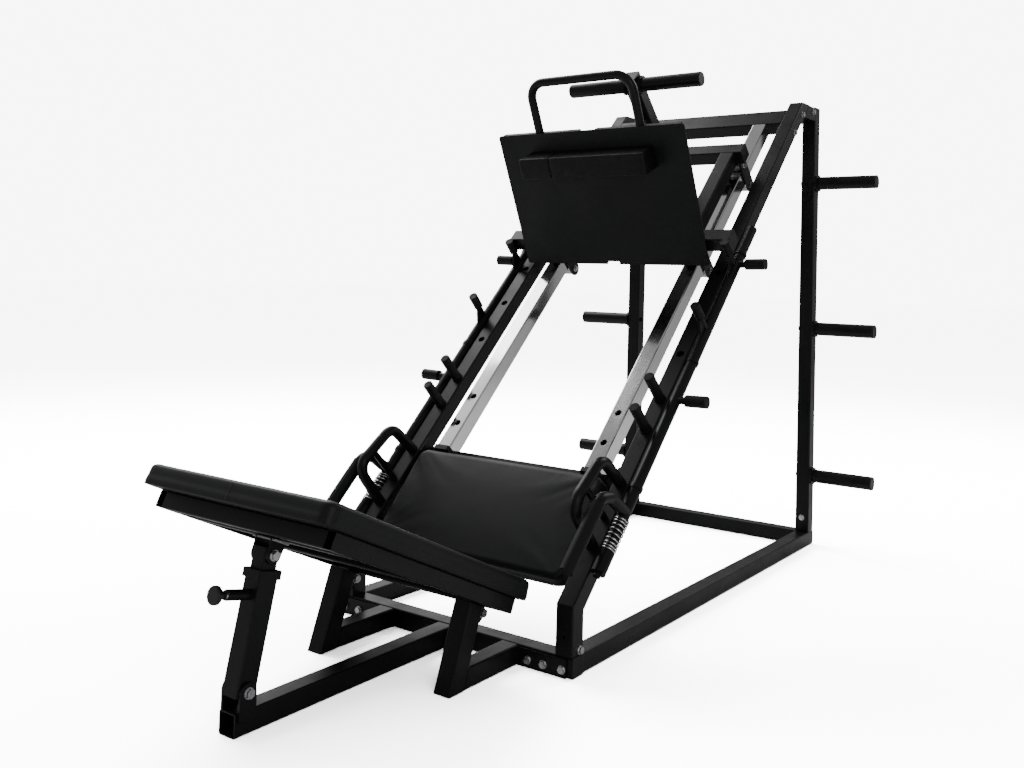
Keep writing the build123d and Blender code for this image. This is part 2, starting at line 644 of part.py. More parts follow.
def make_foot_plate():
    """Foot plate with folded edges, the block on its face and the handle behind its top."""
    with BuildPart() as foot_plate:
        with BuildSketch(PLATE_PLANE) as face:
            with Locations((0, PLATE_LENGTH / 2)):
                RectangleRounded(2 * PLATE_HALF, PLATE_LENGTH, 10)
            with Locations((0, 0)):
                Rectangle(46, 20, mode=Mode.SUBTRACT)
        extrude(face.sketch, amount=-PLATE_THICK)
        lip_width = PLATE_HALF - 45
        for side in (1, -1):
            with BuildSketch(PLATE_PLANE.offset(-PLATE_THICK)) as lips:
                with Locations((side * (lip_width / 2 + 30), 2), (side * (lip_width / 2 + 30), PLATE_LENGTH - 2)):
                    Rectangle(lip_width, PLATE_THICK)
            extrude(lips.sketch, amount=-18)
    save(foot_plate.part, "foot_plate")

    block_width, block_height, block_depth, block_low = 460, 70, 75, 328
    with BuildPart() as foot_block:
        with BuildSketch(PLATE_PLANE) as face:
            with Locations((0, block_low + block_height / 2)):
                RectangleRounded(block_width, block_height, 6)
        extrude(face.sketch, amount=block_depth)
        front = foot_block.faces().sort_by(Axis(PLATE_PLANE.origin, PLATE_OUT))[-1]
        fillet(front.edges(), 5)
    save(foot_block.part, "foot_block")

    with BuildPart() as foot_handle:
        depth = -PLATE_THICK - HANDLE_RADIUS
        corners = (
            (-HANDLE_HALF, 360, depth), (-HANDLE_HALF, HANDLE_TOP, depth),
            (HANDLE_HALF, HANDLE_TOP, depth), (HANDLE_HALF, 360, depth),
        )
        points = [PLATE_PLANE.from_local_coords(Vector(*corner)) for corner in corners]
        bent_rod(points, HANDLE_RADIUS, 55)
        for side in (1, -1):
            notch = PLATE_PLANE.offset(-PLATE_THICK - 19)
            centre = notch.from_local_coords(Vector(side * HANDLE_HALF, PLATE_LENGTH - 2, 0))
            slot = Plane(origin=centre, x_dir=ACROSS, z_dir=PLATE_OUT)
            with BuildSketch(slot) as cut:
                Rectangle(40, PLATE_THICK + 0.4)
            extrude(cut.sketch, amount=19, mode=Mode.SUBTRACT)
    save(foot_handle.part, "foot_handle")


def make_rollers():
    """Roller plates around the guide rails, with axles and rollers above and below them."""
    above_guide = ROLLER_RADIUS + ROLLER_GAP
    below_guide = -TUBE - ROLLER_RADIUS - ROLLER_GAP
    stations = (("lower", LOWER_BEAM + 6), ("upper", UPPER_BEAM))
    plate_gap = 54.0
    with BuildPart() as roller_brackets:
        for _, along in stations:
            for guide in (GUIDE_OFFSET, -GUIDE_OFFSET):
                for x in (guide - plate_gap / 2 - FLANGE, guide + plate_gap / 2):
                    plate = rail_section(x, along, 0, ACROSS)
                    with BuildSketch(plate) as outline:
                        with Locations((0, below_guide)):
                            Circle(24)
                        with Locations((0, (CARRIAGE_LIFT + below_guide) / 2)):
                            Rectangle(48, CARRIAGE_LIFT - below_guide)
                        with Locations((0, above_guide), (0, below_guide)):
                            Circle(AXLE_RADIUS + BOLT_CLEAR, mode=Mode.SUBTRACT)
                    extrude(outline.sketch, amount=FLANGE)
    save(roller_brackets.part, "roller_brackets")

    with BuildPart() as roller_axles:
        for _, along in stations:
            for guide in (GUIDE_OFFSET, -GUIDE_OFFSET):
                for above in (above_guide, below_guide):
                    width = plate_gap + 2 * FLANGE
                    rod(rail_section(guide - width / 2, along, above, ACROSS), AXLE_RADIUS, width)
                    for side in (1, -1):
                        end = rail_section(guide + side * width / 2, along, above, ACROSS * side)
                        rod(end, 11, 2)
                        with BuildSketch(end.offset(2)) as head:
                            RegularPolygon(9.5, 6)
                        extrude(head.sketch, amount=6)
    save(roller_axles.part, "roller_axles")

    for name, along in stations:
        for place, above in (("top", above_guide), ("bottom", below_guide)):
            with BuildPart() as rollers:
                for guide in (GUIDE_OFFSET, -GUIDE_OFFSET):
                    start = rail_section(guide - ROLLER_WIDTH / 2, along, above, ACROSS)
                    rod(start, ROLLER_RADIUS, ROLLER_WIDTH)
                    rod(start.offset(-1), AXLE_RADIUS + RUNNING_GAP, ROLLER_WIDTH + 2, mode=Mode.SUBTRACT)
            save(rollers.part, f"rollers_{name}_{place}")


# ---------------------------------------------------------------- seat

def make_seat():
    """Seat pad on two cross tubes, and the hand loops on the outer rails."""
    inner = HALF - TUBE
    with BuildPart() as seat_frame:
        cross = 40.0
        for along in (62.0, 235.0):
            origin = SEAT_PLANE.from_local_coords(Vector(-inner, along, -SEAT_THICK - cross / 2))
            plane = Plane(origin=origin, x_dir=SEAT_PLANE.y_dir, z_dir=ACROSS)
            square_tube(plane, 2 * inner, width=cross, depth=cross, wall=2.5)
        for x in (inner - FLANGE, -inner):
            hangers = SEAT_PLANE.from_local_coords(Vector(x, 148.5, -SEAT_THICK - cross / 2))
            plane = Plane(origin=hangers, x_dir=SEAT_PLANE.y_dir, z_dir=ACROSS)
            block(plane, 132, cross, FLANGE)
    save(seat_frame.part, "seat_frame")

    with BuildPart() as seat_pad:
        with BuildSketch(SEAT_PLANE.offset(-SEAT_THICK)) as outline:
            with Locations((0, SEAT_LENGTH / 2)):
                RectangleRounded(SEAT_WIDTH, SEAT_LENGTH, 35)
        extrude(outline.sketch, amount=SEAT_THICK)
        top = seat_pad.faces().sort_by(Axis(SEAT_PLANE.origin, SEAT_PLANE.z_dir))[-1]
        fillet(top.edges(), 12)
    save(seat_pad.part, "seat_pad")

    with BuildPart() as seat_handle:
        corners = [on_rails(SEAT_HANDLE_OFFSET, *corner) for corner in SEAT_HANDLE_CORNERS]
        bent_rod(corners, SEAT_HANDLE_RADIUS, SEAT_HANDLE_BEND)
        strut = rail_section(SEAT_HANDLE_OFFSET, 250, 0, ABOVE)
        rod(strut, 9, 137)
        split(bisect_by=Plane(origin=on_rails(0, 0, 0), z_dir=ABOVE), keep=Keep.TOP)
    save_pair(seat_handle.part, "seat_handle")


# ---------------------------------------------------------------- back rest

def make_back_rest():
    """Back pad on a tray of tubes, with its hinge lugs and the bracket of the post's head."""
    bottom = -BACK_THICK - TRAY_DEPTH
    head_edge, foot_edge = TRAY_ENDS
    rail = 25.0
    with BuildPart() as back_pad:
        with BuildSketch(BACK_PLANE.offset(-BACK_THICK)) as outline:
            with Locations((0, BACK_OVERHANG - BACK_LENGTH / 2)):
                RectangleRounded(BACK_WIDTH, BACK_LENGTH, 30)
        extrude(outline.sketch, amount=BACK_THICK)
        top = back_pad.faces().sort_by(Axis(BACK_PLANE.origin, BACK_PLANE.z_dir))[-1]
        fillet(top.edges(), 12)
    save(back_pad.part, "back_pad")

    mid = -BACK_THICK - TRAY_DEPTH / 2
    with BuildPart() as back_frame:
        for x in (TRAY_HALF - rail / 2, rail / 2 - TRAY_HALF):
            plane = Plane(origin=back_point(foot_edge, mid, x), x_dir=ACROSS, z_dir=-BACK_PLANE.y_dir)
            square_tube(plane, foot_edge - head_edge, width=rail, depth=TRAY_DEPTH, wall=2)
        hinge_tube = HINGE_AT[0] + 0.5
        cross_positions = (foot_edge - rail / 2, hinge_tube, -320.0, POST_HEAD_AT[0], head_edge + rail / 2)
        for along in cross_positions:
            origin = back_point(along, mid, rail - TRAY_HALF)
            plane = Plane(origin=origin, x_dir=BACK_PLANE.y_dir, z_dir=ACROSS)
            square_tube(plane, 2 * (TRAY_HALF - rail), width=rail, depth=TRAY_DEPTH, wall=2)
        for x in both_sides((LEG_OFFSET,)):
            lug = Plane(origin=(x - 9, 0, 0), x_dir=(0, 1, 0), z_dir=(1, 0, 0))
            left, right = back_point(HINGE_AT[0] - 14, bottom), back_point(HINGE_AT[0] + 12, bottom)
            low_left, low_right = back_point(HINGE_AT[0] - 13, -101), back_point(HINGE_AT[0] + 13, -101)
            with BuildSketch(lug) as outline:
                with BuildLine():
                    Polyline(*[(p.Y, p.Z) for p in (left, right, low_right, low_left)], close=True)
                make_face()
                with Locations((HINGE.Y, HINGE.Z)):
                    Circle(13)
                    Circle(PIVOT_RADIUS + RUNNING_GAP, mode=Mode.SUBTRACT)
            extrude(outline.sketch, amount=18)
    save(back_frame.part, "back_frame")

    with BuildPart() as post_head_bracket:
        base = Plane(origin=back_point(POST_HEAD_AT[0], bottom), x_dir=ACROSS, z_dir=-BACK_PLANE.z_dir)
        block(base, 70, 44, 4)
        for x in (21.5, -21.5 - FLANGE):
            ear = Plane(origin=(x, 0, 0), x_dir=(0, 1, 0), z_dir=(1, 0, 0))
            corners = [back_point(POST_HEAD_AT[0] + a, b) for a, b in
                       ((-20, bottom - 4), (20, bottom - 4), (19, -117), (-19, -117))]
            with BuildSketch(ear) as outline:
                with BuildLine():
                    Polyline(*[(p.Y, p.Z) for p in corners], close=True)
                make_face()
                with Locations((POST_HEAD.Y, POST_HEAD.Z)):
                    Circle(19)
            extrude(outline.sketch, amount=FLANGE)
        rod(Plane(origin=POST_HEAD - ACROSS * 26.5, z_dir=ACROSS), PIVOT_RADIUS, 53)
        for side in (1, -1):
            face = Plane(origin=POST_HEAD + ACROSS * (26.5 * side), z_dir=ACROSS * side)
            rod(face, 12, 2)
            with BuildSketch(face.offset(2)) as head:
                RegularPolygon(10.5, 6)
            extrude(head.sketch, amount=7)
    save(post_head_bracket.part, "post_head_bracket")


def make_post():
    """Telescoping prop: outer tube with its pull pin, and the inner tube with a row of holes."""
    pin_axis = -POST_PLANE.y_dir

    def across_post(level, reach):
        origin = POST_PLANE.from_local_coords(Vector(0, -reach, level))
        return Plane(origin=origin, x_dir=ACROSS, z_dir=pin_axis)

    pin_bore = 5 + RUNNING_GAP
    with BuildPart() as post_tube:
        square_tube(POST_PLANE.offset(-12), POST_TUBE_END + 12)
        collar = POST_PLANE.offset(POST_TUBE_END)
        with BuildSketch(collar.offset(-12)) as band:
            RectangleRounded(60, 60, 5)
            Rectangle(POST_TUBE, POST_TUBE, mode=Mode.SUBTRACT)
        extrude(band.sketch, amount=12)
        with BuildSketch(collar) as rim:
            RectangleRounded(60, 60, 5)
            Rectangle(POST_INNER + 0.5, POST_INNER + 0.5, mode=Mode.SUBTRACT)
        extrude(rim.sketch, amount=6)
        rod(across_post(PULL_PIN_LEVEL, POST_TUBE / 2 - 1), 11.5, PIN_HOUSING_END - POST_TUBE / 2 + 1)
        rod(across_post(PULL_PIN_LEVEL, POST_TUBE / 2 - 4), pin_bore, 70, mode=Mode.SUBTRACT)
        rod(across_post(PULL_PIN_LEVEL, PIN_HOUSING_END - 6.5), 10.2, 8, mode=Mode.SUBTRACT)
        pivot = Plane(origin=(-40, *POST_FOOT), z_dir=ACROSS)
        rod(pivot, PIVOT_RADIUS + RUNNING_GAP, 80, mode=Mode.SUBTRACT)
    save(post_tube.part, "post_tube")

    with BuildPart() as post_inner:
        length = POST_LENGTH + 15 - POST_INNER_START
        square_tube(POST_PLANE.offset(POST_INNER_START), length, width=POST_INNER, depth=POST_INNER)
        head = Plane(origin=POST_HEAD - ACROSS * 30, z_dir=ACROSS)
        rod(head, PIVOT_RADIUS + HEAD_SLACK, 60, mode=Mode.SUBTRACT)
        for step in range(5):
            level = PULL_PIN_LEVEL - step * POST_STEP
            hole = across_post(level, POST_INNER / 2 + 1)
            rod(hole.offset(-WALL - 2), 6, WALL + 3, mode=Mode.SUBTRACT)
    save(post_inner.part, "post_inner")

    with BuildPart() as pull_pin:
        ring_start, ring_end = PIN_HOUSING_END - 0.7, PIN_HOUSING_END + 5
        disc_start = ring_end + 19
        rod(across_post(PULL_PIN_LEVEL, POST_INNER / 2 + 0.6), 5, ring_end - POST_INNER / 2 - 0.6)
        rod(across_post(PULL_PIN_LEVEL, ring_start), 9.8, ring_end - ring_start)
        with BuildSketch(across_post(PULL_PIN_LEVEL, ring_end)) as neck:
            Circle(7)
        extrude(neck.sketch, amount=disc_start - ring_end, taper=-9)
        rod(across_post(PULL_PIN_LEVEL, disc_start), 19.5, 10.5)
        rims = pull_pin.edges().filter_by(GeomType.CIRCLE).sort_by(Axis(POST_PLANE.origin, pin_axis))
        fillet(rims[-2:], 3.5)
    save(pull_pin.part, "pull_pin")


# ---------------------------------------------------------------- fasteners

def make_fasteners():
    """Bolts of the fixed joints, and the pivot bolts of the back rest and its post."""
    with BuildPart() as frame_bolts:
        for x in both_sides(LEG_BOLTS + (SPINE_BOLT,)):
            hex_bolt(leg_bolt_plane(x, FRONT - FLANGE))
        for seat in (COLUMN_BOLT, RAIL_BOLT, RAIL_TOP_BOLT, LINK_BOLT):
            for side in (1, -1):
                origin = (side * HALF, seat.origin.Y, seat.origin.Z)
                hex_bolt(upright_plane(*origin, (side, 0, 0)))
        for side in (1, -1):
            hex_bolt(upright_plane(side * SIDE, FRAME_REAR - TUBE, 101, (0, -1, 0)))
    save(frame_bolts.part, "frame_bolts")

    with BuildPart() as pivot_bolts:
        for x in both_sides((LEG_OFFSET,)):
            for side in (1, -1):
                face = Plane(origin=(x + side * 15, HINGE.Y, HINGE.Z), z_dir=(side, 0, 0))
                rod(face, 12, 2)
                with BuildSketch(face.offset(2)) as head:
                    RegularPolygon(10.5, 6)
                extrude(head.sketch, amount=7)
            rod(Plane(origin=(x - 15, HINGE.Y, HINGE.Z), z_dir=(1, 0, 0)), PIVOT_RADIUS, 30)
        reach = TUBE / 2 + 0.5 + FLANGE
        for side in (1, -1):
            face = Plane(origin=(side * reach, *POST_FOOT), z_dir=(side, 0, 0))
            rod(face, 12, 2)
            with BuildSketch(face.offset(2)) as head:
                RegularPolygon(10.5, 6)
            extrude(head.sketch, amount=7)
        rod(Plane(origin=(-reach, *POST_FOOT), z_dir=(1, 0, 0)), PIVOT_RADIUS, 2 * reach)
    save(pivot_bolts.part, "pivot_bolts")


make_base()
make_legs()
make_side_frames()
make_cross_members()
make_storage()
make_catches()
make_catch_bearings()
make_stop_pins()
make_carriage_frame()
make_foot_plate()
make_rollers()
make_seat()
make_back_rest()
make_post()
make_fasteners()
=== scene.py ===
import math

import bmesh
import bpy
from mathutils import Matrix, Vector, noise


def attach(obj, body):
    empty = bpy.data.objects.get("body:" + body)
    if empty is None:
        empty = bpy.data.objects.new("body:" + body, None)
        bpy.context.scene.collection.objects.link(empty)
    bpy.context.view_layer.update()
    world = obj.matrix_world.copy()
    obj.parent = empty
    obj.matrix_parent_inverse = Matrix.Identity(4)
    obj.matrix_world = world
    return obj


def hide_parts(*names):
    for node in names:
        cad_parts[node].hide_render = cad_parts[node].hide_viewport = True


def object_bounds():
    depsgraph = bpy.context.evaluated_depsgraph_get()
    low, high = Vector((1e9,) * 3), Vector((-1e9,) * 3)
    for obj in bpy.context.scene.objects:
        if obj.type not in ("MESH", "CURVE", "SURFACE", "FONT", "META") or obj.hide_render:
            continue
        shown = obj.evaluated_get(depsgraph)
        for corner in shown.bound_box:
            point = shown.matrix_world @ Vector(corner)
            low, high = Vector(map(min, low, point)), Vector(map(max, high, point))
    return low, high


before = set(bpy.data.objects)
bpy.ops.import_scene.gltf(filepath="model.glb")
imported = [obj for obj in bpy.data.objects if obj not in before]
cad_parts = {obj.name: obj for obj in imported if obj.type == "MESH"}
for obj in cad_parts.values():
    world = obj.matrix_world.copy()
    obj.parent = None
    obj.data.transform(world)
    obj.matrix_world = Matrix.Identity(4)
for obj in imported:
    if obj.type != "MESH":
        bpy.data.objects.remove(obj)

CAD_LOW, CAD_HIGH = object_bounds()
MM = 0.001

# Directions of the inclined rails, and the planes of the two pads
SLOPE = math.radians(45)
ACROSS = Vector((1, 0, 0))
ALONG = Vector((0, math.cos(SLOPE), math.sin(SLOPE)))
ABOVE = Vector((0, -math.sin(SLOPE), math.cos(SLOPE)))
RAIL_ORIGIN = Vector((0, -25, 172.5)) * MM
BACK_ANGLE = math.radians(-24.6)
SEAT_ANGLE = math.radians(48.5)
BACK_LOW = Vector((0, -61, 223)) * MM
SEAT_LOW = Vector((0, 20, 213)) * MM
PLATE_LEAN = math.radians(19.9)
PLATE_LOW = (1159 * MM, 24 * MM)

# Cushions
CELL = 6 * MM
CROWN = 7 * MM
SIDE_BULGE = 2 * MM
CLOTH_FRAMES = 20

# Return springs round the catch bars, along the rails
SPRING_RANGE = (160.5 * MM, 257.5 * MM)
SPRING_TURNS = 9
SPRING_RADIUS = 18.45 * MM
SPRING_WIRE = 1.95 * MM
CATCH_OFFSET = 413 * MM
CATCH_DROP = -5 * MM

# Studio light
WORLD_DIM = 0.27
WORLD_BRIGHT = 1.25
BACKDROP = 10.0
FLOOR_GAIN = 18.5


def on_rails(x, along, above):
    """A point given across, along and above the inclined rails."""
    return RAIL_ORIGIN + ACROSS * x + ALONG * along + ABOVE * above


# ---------------------------------------------------------------- materials

class Finish:
    """One procedural material, built up from its Principled shader."""

    def __init__(self, name, colour, roughness, metallic=0.0, specular=0.5, coat=0.0, sheen=0.0):
        self.material = bpy.data.materials.new(name)
        self.material.use_nodes = True
        self.tree = self.material.node_tree
        self.shader = self.tree.nodes["Principled BSDF"]
        self.output = self.tree.nodes["Material Output"]
        sockets = self.shader.inputs
        sockets["Base Color"].default_value = (*colour, 1)
        sockets["Roughness"].default_value = roughness
        sockets["Metallic"].default_value = metallic
        sockets["Specular IOR Level"].default_value = specular
        sockets["Coat Weight"].default_value = coat
        sockets["Coat Roughness"].default_value = 0.12
        sockets["Sheen Weight"].default_value = sheen
        self.colour = colour
        self.bumps = []

    def node(self, kind, inputs=(), **settings):
        made = self.tree.nodes.new(kind)
        for key, value in settings.items():
            setattr(made, key, value)
        for key, value in dict(inputs).items():
            if isinstance(value, bpy.types.NodeSocket):
                self.tree.links.new(value, made.inputs[key])
            else:
                made.inputs[key].default_value = value
        return made

    def place(self, scale=(1, 1, 1), turn=0.0):
        """Object coordinates, turned about X and then stretched."""
        coords = self.node("ShaderNodeTexCoord").outputs["Object"]
        turned = self.node("ShaderNodeMapping", {"Vector": coords, "Rotation": (turn, 0, 0)})
        return self.node("ShaderNodeMapping", {"Vector": turned.outputs[0], "Scale": scale}).outputs[0]

    def noise(self, scale, detail=3.0, stretch=(1, 1, 1), turn=0.0):
        where = self.place(stretch, turn)
        made = self.node("ShaderNodeTexNoise", {"Vector": where, "Scale": scale, "Detail": detail})
        return made.outputs[0]

    def cells(self, scale, feature="F1"):
        made = self.node(
            "ShaderNodeTexVoronoi", {"Vector": self.place(), "Scale": scale}, feature=feature,
        )
        return made.outputs["Distance"]

    def ramp(self, value, low, high, start=0.0, end=1.0):
        """Maps a 0 to 1 pattern between start and end onto low to high."""
        made = self.node("ShaderNodeMapRange", {
            "Value": value, "From Min": start, "From Max": end, "To Min": low, "To Max": high,
        })
        return made.outputs[0]

    def vary_colour(self, pattern, other, start=0.35, end=0.65):
        """Blends the base colour towards another one where the pattern is high."""
        mask = self.ramp(pattern, 0, 1, start, end)
        source = self.shader.inputs["Base Color"]
        mix = self.node("ShaderNodeMix", {"Factor": mask}, data_type="RGBA")
        if source.is_linked:
            self.tree.links.new(source.links[0].from_socket, mix.inputs[6])
        else:
            mix.inputs[6].default_value = (*self.colour, 1)
        mix.inputs[7].default_value = (*other, 1)
        self.tree.links.new(mix.outputs[2], source)

    def vary_roughness(self, pattern, low, high, start=0.3, end=0.7):
        self.tree.links.new(self.ramp(pattern, low, high, start, end), self.shader.inputs["Roughness"])

    def bump(self, height, strength, distance):
        """Adds a bump; later ones ride on the earlier ones."""
        inputs = {"Height": height, "Strength": strength, "Distance": distance}
        if self.bumps:
            inputs["Normal"] = self.bumps[-1]
        self.bumps.append(self.node("ShaderNodeBump", inputs).outputs[0])
        self.tree.links.new(self.bumps[-1], self.shader.inputs["Normal"])

    def soften_edges(self, radius):
        """Rounds the shading of hard edges."""
        self.bumps.append(self.node("ShaderNodeBevel", {"Radius": radius}, samples=4).outputs[0])
        self.tree.links.new(self.bumps[-1], self.shader.inputs["Normal"])

    def edge_mask(self, radius):
        """High where a surface bends sharply within the radius."""
        bevel = self.node("ShaderNodeBevel", {"Radius": radius}, samples=4).outputs[0]
        flat = self.node("ShaderNodeNewGeometry").outputs["Normal"]
        dot = self.node("ShaderNodeVectorMath", {0: bevel, 1: flat}, operation="DOT_PRODUCT")
        return self.ramp(dot.outputs["Value"], 1, 0, 0.75, 0.995)

    def split_at(self, direction, distance, other):
        """Shows another finish beyond a distance along a direction."""
        coords = self.node("ShaderNodeTexCoord").outputs["Object"]
        along = self.node("ShaderNodeVectorMath", {0: coords, 1: tuple(direction)}, operation="DOT_PRODUCT")
        beyond = self.node("ShaderNodeMath", {0: along.outputs["Value"], 1: distance}, operation="GREATER_THAN")
        return self.blend(beyond.outputs[0], other)

    def blend(self, mask, other):
        """Mixes in a plain metal where the mask is 1."""
        for name, value in (("Metallic", other["metallic"]), ("Roughness", other["roughness"])):
            socket = self.shader.inputs[name]
            low = socket.links[0].from_socket if socket.is_linked else socket.default_value
            mix = self.node("ShaderNodeMix", {0: mask, 2: low, 3: value}, data_type="FLOAT")
            self.tree.links.new(mix.outputs[0], socket)
        socket = self.shader.inputs["Base Color"]
        mix = self.node("ShaderNodeMix", {0: mask}, data_type="RGBA")
        if socket.is_linked:
            self.tree.links.new(socket.links[0].from_socket, mix.inputs[6])
        else:
            mix.inputs[6].default_value = socket.default_value
        mix.inputs[7].default_value = (*other["colour"], 1)
        self.tree.links.new(mix.outputs[2], socket)


BRIGHT_ZINC = {"metallic": 1.0, "roughness": 0.26, "colour": (0.66, 0.67, 0.69)}


def powder_coat(name="powder_coat", roughness=(0.26, 0.4), shade=0.0065):
    """Black powder coat: fine orange peel, slight dust, and a painted highlight that makes sharp edges paler in
    patches.
    """
    finish = Finish(name, (shade, shade, shade * 1.06), 0.3, specular=0.24)
    finish.vary_colour(finish.noise(6, 4), (shade * 1.5, shade * 1.5, shade * 1.6), 0.4, 0.75)
    # Painted highlight: paler colour along sharp edges, broken into patches by noise.
    painted_edge_highlight = finish.node("ShaderNodeMath", {
        0: finish.edge_mask(1.4 * MM), 1: finish.ramp(finish.noise(38, 5), 0, 1, 0.45, 0.7),
    }, operation="MULTIPLY")
    finish.vary_colour(painted_edge_highlight.outputs[0], (0.035, 0.035, 0.036), 0.25, 1.0)
    finish.vary_roughness(finish.noise(14, 5), *roughness)
    finish.soften_edges(1.3 * MM)
    finish.bump(finish.noise(620, 2), 0.1, 0.2 * MM)
    return finish


def plate_coat():
    """The foot plate's coarser, more matt coat with scuffs from shoes."""
    finish = Finish("plate_coat", (0.0085, 0.0087, 0.0095), 0.5, specular=0.26)
    scuffs = finish.noise(26, 6, stretch=(1, 5, 1), turn=-SLOPE - PLATE_LEAN)
    finish.vary_colour(scuffs, (0.013, 0.013, 0.014), 0.52, 0.85)
    finish.vary_roughness(finish.noise(9, 4), 0.42, 0.58)
    finish.soften_edges(1.2 * MM)
    finish.bump(finish.noise(900, 3), 0.25, 0.25 * MM)
    return finish


def polished_rail():
    """Ground steel with fine lines along the rail and the rollers' dull tracks."""
    finish = Finish("polished_rail", (0.86, 0.86, 0.87), 0.1, metallic=1.0)
    lines = finish.noise(60, 5, stretch=(22, 0.35, 22), turn=-SLOPE)
    clouds = finish.noise(9, 4, stretch=(1, 0.5, 1), turn=-SLOPE)
    finish.vary_colour(lines, (0.62, 0.62, 0.635), 0.5, 0.9)
    finish.vary_colour(clouds, (0.74, 0.74, 0.76), 0.5, 0.9)
    finish.vary_roughness(clouds, 0.06, 0.15)
    finish.soften_edges(1.2 * MM)
    finish.bump(lines, 0.08, 0.08 * MM)
    return finish


def bright_metal(name, colour, roughness, grain):
    """Plated steel with faint handling marks."""
    finish = Finish(name, colour, roughness, metallic=1.0)
    dull = tuple(c * 0.72 for c in colour)
    finish.vary_colour(finish.noise(grain, 4), dull, 0.45, 0.8)
    finish.vary_roughness(finish.noise(grain * 2, 4), roughness * 0.7, roughness * 1.6)
    finish.soften_edges(0.5 * MM)
    finish.bump(finish.noise(grain * 9, 3), 0.12, 0.1 * MM)
    return finish


def black_rubber(name="black_rubber", shade=0.0075):
    """Matt rubber sleeve with a fine moulded skin."""
    finish = Finish(name, (shade, shade, shade), 0.6, specular=0.22)
    finish.vary_colour(finish.noise(30, 5), (shade * 1.6, shade * 1.6, shade * 1.65), 0.5, 0.8)
    finish.vary_roughness(finish.noise(50, 4), 0.44, 0.62)
    finish.soften_edges(1.0 * MM)
    finish.bump(finish.noise(1400, 2), 0.22, 0.12 * MM)
    return finish


def black_plastic():
    """Moulded tube plugs and knobs."""
    finish = Finish("black_plastic", (0.008, 0.008, 0.0085), 0.4, specular=0.3)
    finish.vary_colour(finish.noise(40, 4), (0.013, 0.013, 0.0135), 0.5, 0.8)
    finish.vary_roughness(finish.noise(60, 4), 0.34, 0.48)
    finish.soften_edges(1.0 * MM)
    finish.bump(finish.cells(1500), 0.15, 0.1 * MM)
    return finish


def vinyl():
    """Black upholstery vinyl: pebbled grain, soft creases and a slight sheen."""
    finish = Finish("vinyl", (0.0075, 0.0077, 0.0085), 0.46, specular=0.26, sheen=0.02)
    finish.vary_colour(finish.noise(5, 4), (0.0095, 0.0097, 0.0108), 0.4, 0.75)
    finish.vary_roughness(finish.noise(11, 4), 0.44, 0.49)
    finish.bump(finish.noise(28, 4), 0.03, 1.0 * MM)
    finish.bump(finish.cells(620), 0.22, 0.3 * MM)
    finish.bump(finish.noise(2200, 2), 0.1, 0.1 * MM)
    return finish


def thread():
    """Black sewing thread."""
    finish = Finish("thread", (0.03, 0.03, 0.032), 0.65, specular=0.3, sheen=0.2)
    finish.vary_colour(finish.noise(700, 3), (0.05, 0.05, 0.052), 0.4, 0.7)
    finish.bump(finish.noise(2600, 2), 0.3, 0.1 * MM)
    return finish


def floor_finish():
    """Pale studio floor, which the camera sees as brightly as a lit backdrop."""
    finish = Finish("studio_floor", (0.8, 0.8, 0.8), 0.75, specular=0.1)
    finish.vary_colour(finish.noise(1.5, 3), (0.78, 0.78, 0.78), 0.4, 0.7)
    seen = finish.node("ShaderNodeBsdfDiffuse", {"Color": (FLOOR_GAIN, FLOOR_GAIN, FLOOR_GAIN, 1)})
    path = finish.node("ShaderNodeLightPath").outputs["Is Camera Ray"]
    both = finish.node("ShaderNodeMixShader", {0: path, 1: finish.shader.outputs[0], 2: seen.outputs[0]})
    finish.tree.links.new(both.outputs[0], finish.output.inputs["Surface"])
    return finish


def across_split(name, inner, outer):
    """Powder coat with bright bolt ends outside and a bright shank inside."""
    finish = powder_coat(name)
    coords = finish.node("ShaderNodeTexCoord").outputs["Object"]
    x = finish.node("ShaderNodeSeparateXYZ", {0: coords}).outputs[0]
    size = finish.node("ShaderNodeMath", {0: x}, operation="ABSOLUTE").outputs[0]
    outside = finish.node("ShaderNodeMath", {0: size, 1: outer}, operation="GREATER_THAN").outputs[0]
    inside = finish.node("ShaderNodeMath", {0: size, 1: inner}, operation="LESS_THAN").outputs[0]
    either = finish.node("ShaderNodeMath", {0: outside, 1: inside}, operation="MAXIMUM").outputs[0]
    finish.blend(either, BRIGHT_ZINC)
    return finish


def paint(names, finish):
    """Gives CAD nodes a finish through their objects' material slots."""
    for name in names:
        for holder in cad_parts[name].material_slots:
            holder.link = "OBJECT"
            holder.material = finish.material


def paint_frame():
    """Assigns every CAD node its finish."""
    coat = powder_coat()
    paint(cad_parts, coat)
    paint(["foot_plate"], plate_coat())
    rails = [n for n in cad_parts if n.startswith("guide_rail")]
    paint(rails, polished_rail())
    bolts = bright_metal("bright_zinc", (0.68, 0.69, 0.71), 0.24, 60)
    rollers = [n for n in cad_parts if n.startswith("roller") and n != "roller_brackets"]
    paint(["frame_bolts", "pivot_bolts", "roller_axles"], bolts)
    paint([n for n in rollers if n != "roller_axles"], bright_metal("roller_steel", (0.5, 0.5, 0.51), 0.3, 40))
    paint(["catch_grips_left", "catch_grips_right"], black_rubber())
    paint(["tube_plugs", "carriage_caps", "guide_end_caps"], black_plastic())
    paint(["post_head_bracket"], across_split("head_bracket", 21.4 * MM, 26.5 * MM))
    for name in [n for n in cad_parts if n.startswith("stop_pin")]:
        sleeve = black_rubber(name + "_skin")
        bottom = -ABOVE.dot(on_rails(0, 0, 0)) - 0.1 * MM
        sleeve.split_at(-ABOVE, bottom, BRIGHT_ZINC)
        paint([name], sleeve)
    paint(["pull_pin"], knob_finish())
    return coat


